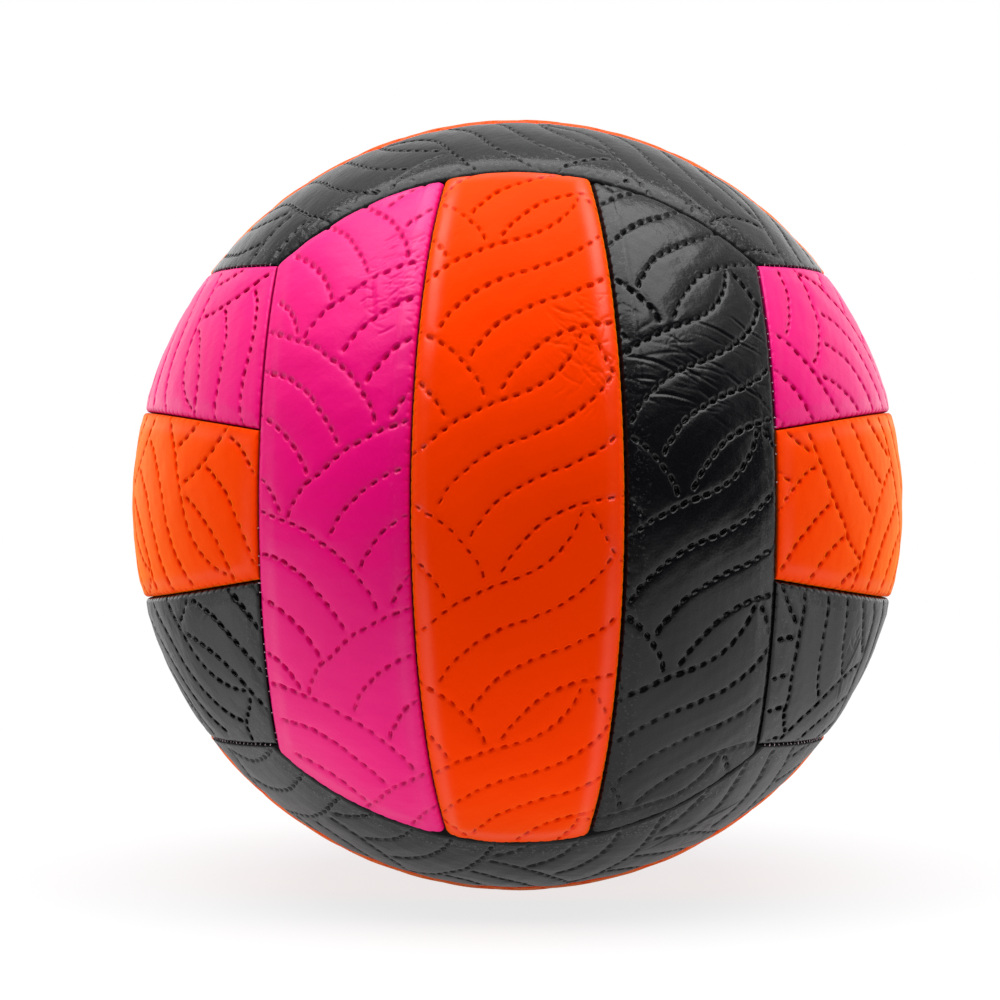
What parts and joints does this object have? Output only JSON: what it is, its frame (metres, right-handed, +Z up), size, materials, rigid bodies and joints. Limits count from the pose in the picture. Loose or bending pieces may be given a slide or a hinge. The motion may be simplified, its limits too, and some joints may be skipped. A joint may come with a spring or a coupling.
{
  "type": "volleyball",
  "caption": "Round indoor and beach volleyball with puffy strip panels in pink, orange and black, rolled seams, quilted leather-like skin and a rubber needle valve.",
  "frame": {"origin": "centre of the ball", "axes": "+Z up, -Y towards the viewer of the pictured side, +Y along the valve's axis out of the back, +X to the viewer's right"},
  "size_m": [0.21, 0.2099, 0.21],
  "materials": {
    "skin_pink": "soft-touch synthetic leather, satin",
    "skin_orange": "soft-touch synthetic leather, satin",
    "skin_black": "soft-touch synthetic leather, satin",
    "foam": "cloth-backed foam",
    "bladder_rubber": "matt butyl",
    "valve_rubber": "matt butyl"
  },
  "bodies": {
    "root": {"cover_front_left": "skin_pink", "cover_front_middle": "skin_orange", "cover_front_right": "skin_black", "cover_back_left": "skin_pink", "cover_back_middle": "skin_orange", "cover_back_right": "skin_black", "cover_left_upper": "skin_pink", "cover_left_middle": "skin_orange", "cover_left_lower": "skin_black", "cover_right_upper": "skin_pink", "cover_right_middle": "skin_orange", "cover_right_lower": "skin_black", "cover_top_front": "skin_black", "cover_top_middle": "skin_orange", "cover_top_back": "skin_pink", "cover_bottom_front": "skin_black", "cover_bottom_middle": "skin_orange", "cover_bottom_back": "skin_pink", "pad_front_left": "foam", "pad_front_middle": "foam", "pad_front_right": "foam", "pad_back_left": "foam", "pad_back_middle": "foam", "pad_back_right": "foam", "pad_left_upper": "foam", "pad_left_middle": "foam", "pad_left_lower": "foam", "pad_right_upper": "foam", "pad_right_middle": "foam", "pad_right_lower": "foam", "pad_top_front": "foam", "pad_top_middle": "foam", "pad_top_back": "foam", "pad_bottom_front": "foam", "pad_bottom_middle": "foam", "pad_bottom_back": "foam", "bladder": "bladder_rubber", "valve_seat": "valve_rubber", "valve_plug": "valve_rubber"}
  },
  "joints": []
}
